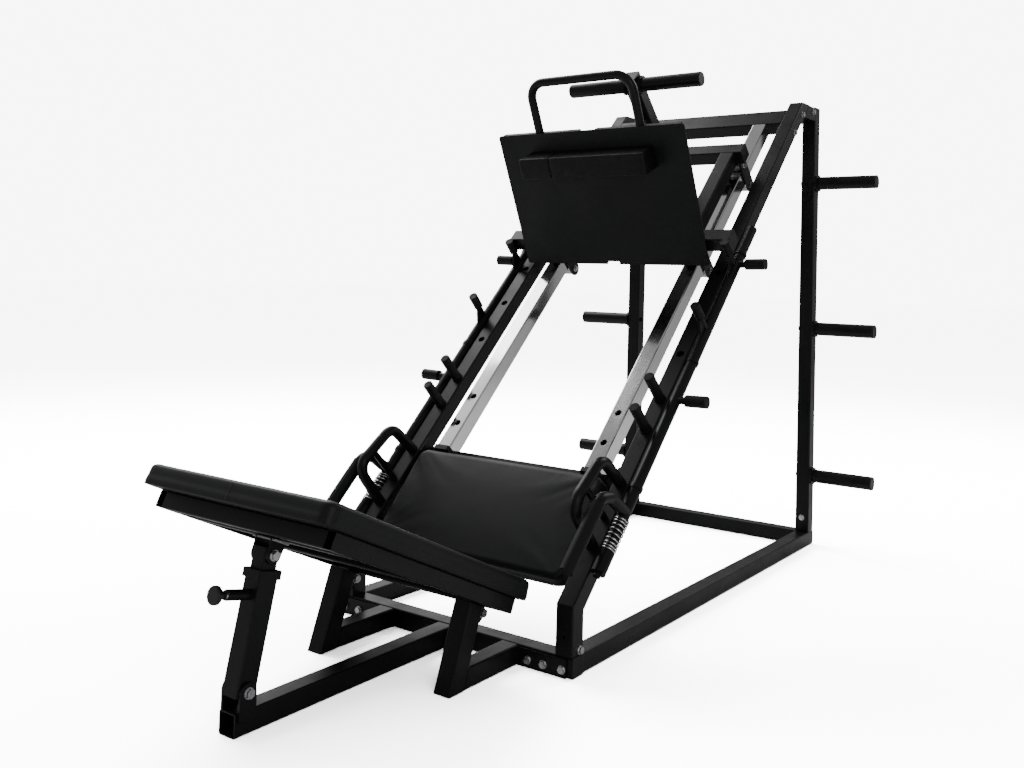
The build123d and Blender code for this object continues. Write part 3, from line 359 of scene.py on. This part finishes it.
def knob_finish():
    """The pull pin: black knob and neck beyond its bright ring and shank."""
    outward = Vector((0, -0.97792, 0.20898))
    foot = Vector((0, -687, 87)) * MM
    ring_end = outward.dot(foot) + 89.0 * MM
    finish = Finish("pull_pin_skin", (0.016, 0.016, 0.017), 0.35, specular=0.45)
    finish.vary_roughness(finish.noise(60, 4), 0.28, 0.42)
    finish.bump(finish.noise(900, 2), 0.1, 0.1 * MM)
    finish.split_at(-outward, -ring_end, BRIGHT_ZINC)
    return finish


# ---------------------------------------------------------------- mesh helpers

def new_piece(name, mesh, body, finish):
    """Links a finished mesh, shades it smooth and lets it ride on a body."""
    piece = bpy.data.objects.new(name, mesh)
    bpy.context.scene.collection.objects.link(piece)
    mesh.materials.clear()
    mesh.materials.append(finish.material)
    mesh.polygons.foreach_set("use_smooth", [True] * len(mesh.polygons))
    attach(piece, body)
    return piece


def frame_along(points, index):
    """A direction and two normals at a point of a path."""
    before, after = points[max(index - 1, 0)], points[min(index + 1, len(points) - 1)]
    direction = (after - before).normalized()
    side = direction.cross(ABOVE)
    if side.length < 0.1:
        side = direction.cross(ACROSS)
    side.normalize()
    return side, direction.cross(side).normalized()


def tube_mesh(name, points, radius, sides=10, swell=None):
    """A closed tube along points; swell(i) scales the radius at each one."""
    mesh = bpy.data.meshes.new(name)
    bm = bmesh.new()
    add_tube(bm, points, radius, sides, swell)
    bm.to_mesh(mesh)
    bm.free()
    return mesh


def add_tube(bm, points, radius, sides=10, swell=None):
    rings = []
    for i, point in enumerate(points):
        side, up = frame_along(points, i)
        size = radius * (swell(i) if swell else 1.0)
        ring = []
        for k in range(sides):
            turn = math.tau * k / sides
            ring.append(bm.verts.new(point + (side * math.cos(turn) + up * math.sin(turn)) * size))
        rings.append(ring)
    for low, high in zip(rings, rings[1:]):
        for k in range(sides):
            j = (k + 1) % sides
            bm.faces.new((low[k], low[j], high[j], high[k]))
    bm.faces.new(list(reversed(rings[0])))
    bm.faces.new(rings[-1])


# ---------------------------------------------------------------- springs

def return_spring(side, finish):
    """A coil round one catch bar, with its end turns drawn together."""
    name = "spring_right" if side > 0 else "spring_left"
    start, end = SPRING_RANGE[0] + SPRING_WIRE, SPRING_RANGE[1] - SPRING_WIRE
    steps = SPRING_TURNS * 28
    points = []
    for i in range(steps + 1):
        t = i / steps
        eased = t + 0.06 * math.sin(math.tau * t) * -1
        turn = math.tau * SPRING_TURNS * t * side
        centre = on_rails(side * CATCH_OFFSET, start + (end - start) * eased, CATCH_DROP)
        points.append(centre + (ACROSS * math.cos(turn) + ABOVE * math.sin(turn)) * SPRING_RADIUS)
    piece = new_piece(name, tube_mesh(name, points, SPRING_WIRE, 12), "frame", finish)
    return piece


# ---------------------------------------------------------------- cushions

def plane_matrix(low_edge, angle):
    """The pad's own frame: X across, Y up its face, Z out of it."""
    return Matrix.Translation(low_edge) @ Matrix.Rotation(angle, 4, "X")


def evaluated_mesh(piece):
    graph = bpy.context.evaluated_depsgraph_get()
    return bpy.data.meshes.new_from_object(piece.evaluated_get(graph))


def swap_mesh(piece, mesh):
    piece.modifiers.clear()
    piece.vertex_groups.clear()
    piece.data = mesh


def remeshed(piece):
    """One even skin over the CAD solid."""
    bm = bmesh.new()
    bm.from_mesh(piece.data)
    bmesh.ops.remove_doubles(bm, verts=bm.verts, dist=0.02 * MM)
    bm.to_mesh(piece.data)
    bm.free()
    modifier = piece.modifiers.new("remesh", "REMESH")
    modifier.mode = "VOXEL"
    modifier.voxel_size = CELL
    modifier.use_smooth_shade = True
    swap_mesh(piece, evaluated_mesh(piece))


def inflate(piece, thickness):
    """Lets the cover swell under pressure, held where it lies on its board."""
    scene = bpy.context.scene
    bottom = min(v.co.z for v in piece.data.vertices)
    held = piece.vertex_groups.new(name="held")
    for v in piece.data.vertices:
        height = (v.co.z - bottom) / thickness
        if height < 0.45:
            held.add([v.index], 1.0 - max(0.0, height - 0.15) / 0.3, "REPLACE")
    cloth = piece.modifiers.new("cloth", "CLOTH")
    settings = cloth.settings
    settings.quality = 4
    settings.mass = 0.4
    settings.tension_stiffness = 25
    settings.compression_stiffness = 25
    settings.shear_stiffness = 12
    settings.bending_stiffness = 4
    settings.use_pressure = True
    settings.uniform_pressure_force = 4
    settings.vertex_group_mass = "held"
    settings.pin_stiffness = 1
    settings.effector_weights.gravity = 0
    cloth.collision_settings.use_collision = False
    cloth.point_cache.frame_start = 1
    cloth.point_cache.frame_end = CLOTH_FRAMES
    for number in range(1, CLOTH_FRAMES + 1):
        scene.frame_set(number)
    swollen = evaluated_mesh(piece)
    scene.frame_set(1)
    return swollen


def cap_movement(rest, swollen):
    """Keeps the swelling within the crown and side bulge of a firm pad."""
    peak = max((after.co.z - before.co.z) for before, after in zip(rest.vertices, swollen.vertices))
    gain = CROWN / max(peak, 1e-6)
    for before, after in zip(rest.vertices, swollen.vertices):
        move = after.co - before.co
        move.z *= gain
        flat = Vector((move.x, move.y, 0))
        if flat.length > SIDE_BULGE:
            flat *= SIDE_BULGE / flat.length
        after.co = before.co + Vector((flat.x, flat.y, max(-0.5 * MM, min(CROWN, move.z))))


def wrinkle(mesh, depth):
    """Slow unevenness of foam under vinyl, pushed out along each vertex normal."""
    normals = [v.normal.copy() for v in mesh.vertices]
    for v, outward in zip(mesh.vertices, normals):
        wave = noise.noise(v.co * 9) + 0.5 * noise.noise(v.co * 23)
        v.co += outward * wave * depth


def cushion(name, node, low_edge, angle, thickness, finish, body):
    """A firm upholstered pad in place of its plain CAD solid."""
    place = plane_matrix(low_edge, angle)
    pad = bpy.data.objects.new(name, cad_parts[node].data.copy())
    bpy.context.scene.collection.objects.link(pad)
    pad.data.transform(place.inverted())
    remeshed(pad)
    mesh = inflate(pad, thickness)
    cap_movement(pad.data, mesh)
    wrinkle(mesh, 0.2 * MM)
    swap_mesh(pad, mesh)
    mesh.transform(place)
    mesh.materials.clear()
    mesh.materials.append(finish.material)
    mesh.polygons.foreach_set("use_smooth", [True] * len(mesh.polygons))
    smooth = pad.modifiers.new("smooth", "SUBSURF")
    smooth.levels = smooth.render_levels = 1
    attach(pad, body)
    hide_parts(node)
    return pad


def seam_on(pad, name, place, start, end, inward, finish, body, pitch=5 * MM):
    """A sewn seam laid on a pad between two points of its own frame, with stitches beside it."""
    world = [place @ (start.lerp(end, t / 24)) for t in range(25)]
    direction = (place.to_3x3() @ inward).normalized()
    track = []
    graph = bpy.context.evaluated_depsgraph_get()
    shown = pad.evaluated_get(graph)
    back = pad.matrix_world.inverted()
    for point in world:
        hit, where, _, _ = shown.ray_cast(back @ (point - direction * 0.06), direction)
        if hit:
            track.append(pad.matrix_world @ where)
    mesh = bpy.data.meshes.new(name)
    bm = bmesh.new()
    add_tube(bm, track, 0.8 * MM, 8)
    run = (track[-1] - track[0]).normalized()
    side = run.cross(direction).normalized()
    length = sum((b - a).length for a, b in zip(track, track[1:]))
    for row in (-1, 1):
        for k in range(int(length / pitch)):
            at = track[0].lerp(track[-1], (k + 0.5) * pitch / length)
            middle = at + side * row * 3.2 * MM - direction * 0.35 * MM
            ends = [middle - run * 1.6 * MM, middle, middle + run * 1.6 * MM]
            add_tube(bm, ends, 0.45 * MM, 6)
    bm.to_mesh(mesh)
    bm.free()
    piece = new_piece(name, mesh, body, finish)
    return piece


# ---------------------------------------------------------------- foot block

def foot_block(finish):
    """The rubber block on the foot plate, in two lengths with a thin joint between them."""
    out = (ABOVE * math.sin(PLATE_LEAN) - ALONG * math.cos(PLATE_LEAN)).normalized()
    up = (ABOVE * math.cos(PLATE_LEAN) + ALONG * math.sin(PLATE_LEAN)).normalized()
    origin = on_rails(0, *PLATE_LOW)
    low, high, depth, half, joint = 328 * MM, 398 * MM, 75 * MM, 230 * MM, -115 * MM
    mesh = bpy.data.meshes.new("block")
    bm = bmesh.new()
    for start, end in ((-half, joint - 0.6 * MM), (joint + 0.6 * MM, half)):
        add_block(bm, origin, up, out, start, end, low, high, depth)
    bm.to_mesh(mesh)
    bm.free()
    piece = new_piece("foot_block_skin", mesh, "carriage", finish)
    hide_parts("foot_block")
    return piece


def add_block(bm, origin, up, out, start, end, low, high, depth, corner=6 * MM):
    """One length of the block: a rounded section with softened ends and a slightly full face."""
    middle = (low + high) / 2
    stations = [0, 1 * MM, 3 * MM, 6 * MM]
    length = end - start
    xs = [s for s in stations] + [length * k / 12 for k in range(1, 12)]
    xs = sorted(xs + [length - s for s in stations])
    rings = []
    for x in xs:
        near = min(x, length - x)
        inset = corner * (1 - math.sqrt(max(0.0, 1 - (1 - min(near, 6 * MM) / (6 * MM)) ** 2))) * 0.55
        rings.append([
            bm.verts.new(origin + ACROSS * (start + x) + up * a + out * b)
            for a, b in block_section(middle, (high - low) / 2 - inset, depth - inset, corner)
        ])
    count = len(rings[0])
    for one, two in zip(rings, rings[1:]):
        for k in range(count):
            j = (k + 1) % count
            bm.faces.new((one[k], two[k], two[j], one[j]))
    bm.faces.new(rings[0])
    bm.faces.new(list(reversed(rings[-1])))


def block_section(middle, half, depth, corner):
    """Outline of the block across its length: flat on the plate, rounded in front."""
    points = [(middle - half, 0.0)]
    for k in range(7):
        turn = math.pi * (1 + k / 12)
        points.append((middle - half + corner + corner * math.cos(turn), depth - corner - corner * math.sin(turn)))
    for k in range(1, 8):
        t = k / 8
        swell = 1.2 * MM * math.sin(math.pi * t)
        points.append((middle - half + corner + (2 * half - 2 * corner) * t, depth + swell))
    for k in range(7):
        turn = math.pi / 2 * (1 - k / 6)
        points.append((middle + half - corner + corner * math.cos(turn), depth - corner + corner * math.sin(turn)))
    points.append((middle + half, 0.0))
    return points


# ---------------------------------------------------------------- studio

def studio():
    """White backdrop and floor, with soft light that is brightest high on the left."""
    bpy.ops.mesh.primitive_plane_add(size=120, location=(0, 0, -0.5 * MM))
    floor = bpy.context.object
    floor.name = "floor"
    floor.data.materials.append(floor_finish().material)
    studio_world()

    middle = (CAD_LOW + CAD_HIGH) / 2
    for name, place, size, power in (
        ("key", (-3.2, 1.5, 4.4), 2.8, 110),
        ("fill", (3.6, -2.6, 2.2), 2.0, 26),
        ("rim", (1.5, 4.5, 3.8), 2.6, 60),
    ):
        data = bpy.data.lights.new(name, "AREA")
        data.shape = "SQUARE"
        data.size = size
        data.energy = power
        lamp = bpy.data.objects.new(name, data)
        lamp.location = Vector(place)
        lamp.rotation_euler = (middle - lamp.location).to_track_quat("-Z", "Y").to_euler()
        bpy.context.scene.collection.objects.link(lamp)


def studio_world():
    """A dim surround with one broad bright side, behind a plain white backdrop."""
    world = bpy.data.worlds.new("studio")
    bpy.context.scene.world = world
    world.use_nodes = True
    tree = world.node_tree
    surround = tree.nodes["Background"]
    surround.inputs["Color"].default_value = (1, 1, 1, 1)

    def made(kind, **settings):
        node = tree.nodes.new(kind)
        for key, value in settings.items():
            setattr(node, key, value)
        return node

    toward = made("ShaderNodeVectorMath", operation="DOT_PRODUCT")
    tree.links.new(made("ShaderNodeTexCoord").outputs["Generated"], toward.inputs[0])
    toward.inputs[1].default_value = Vector((-0.85, 0.3, 0.43)).normalized()
    glow = made("ShaderNodeMapRange", interpolation_type="SMOOTHSTEP")
    for name, value in (("From Min", 0.765), ("From Max", 0.86), ("To Min", WORLD_DIM), ("To Max", WORLD_BRIGHT)):
        glow.inputs[name].default_value = value
    tree.links.new(toward.outputs["Value"], glow.inputs["Value"])
    tree.links.new(glow.outputs[0], surround.inputs["Strength"])

    backdrop = made("ShaderNodeBackground")
    backdrop.inputs["Strength"].default_value = BACKDROP
    mix = made("ShaderNodeMixShader")
    tree.links.new(made("ShaderNodeLightPath").outputs["Is Camera Ray"], mix.inputs[0])
    tree.links.new(surround.outputs[0], mix.inputs[1])
    tree.links.new(backdrop.outputs[0], mix.inputs[2])
    tree.links.new(mix.outputs[0], tree.nodes["World Output"].inputs["Surface"])


def photo_camera():
    """A camera low in front of the user's right-hand side."""
    yaw, pitch, roll = math.radians(34.925), math.radians(-2.119), math.radians(1.599)
    ahead = Vector((
        -math.sin(yaw) * math.cos(pitch), math.cos(yaw) * math.cos(pitch), -math.sin(pitch),
    ))
    right = Vector((math.cos(yaw), math.sin(yaw), 0))
    up = right.cross(ahead)
    turned_right = right * math.cos(roll) + up * math.sin(roll)
    turned_up = up * math.cos(roll) - right * math.sin(roll)
    data = bpy.data.cameras.new("camera")
    data.sensor_width = 36
    data.lens = 35.37
    data.shift_x = -0.0315
    data.shift_y = -0.1394
    data.clip_end = 200
    camera = bpy.data.objects.new("camera", data)
    axes = Matrix((turned_right, turned_up, -ahead)).transposed()
    camera.matrix_world = Matrix.Translation(Vector((1710.6, -2077.4, 955.7)) * MM) @ axes.to_4x4()
    bpy.context.scene.collection.objects.link(camera)
    bpy.context.scene.camera = camera


# ---------------------------------------------------------------- assembly

paint_frame()
chrome = bright_metal("chrome", (0.8, 0.8, 0.82), 0.1, 50)
coils = [return_spring(side, chrome) for side in (1, -1)]
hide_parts("return_springs")

cover = vinyl()
back_pad = cushion("back_cushion", "back_pad", BACK_LOW, BACK_ANGLE, 48 * MM, cover, "backrest")
seat_pad = cushion("seat_cushion", "seat_pad", SEAT_LOW, SEAT_ANGLE, 52 * MM, cover, "frame")
foot_block(black_rubber("block_rubber"))
seam_on(
    back_pad, "head_band_seam", plane_matrix(BACK_LOW, BACK_ANGLE),
    Vector((0, -730, -44)) * MM, Vector((0, -730, -6)) * MM, Vector((0, 1, 0)), thread(), "backrest",
)

studio()
photo_camera()
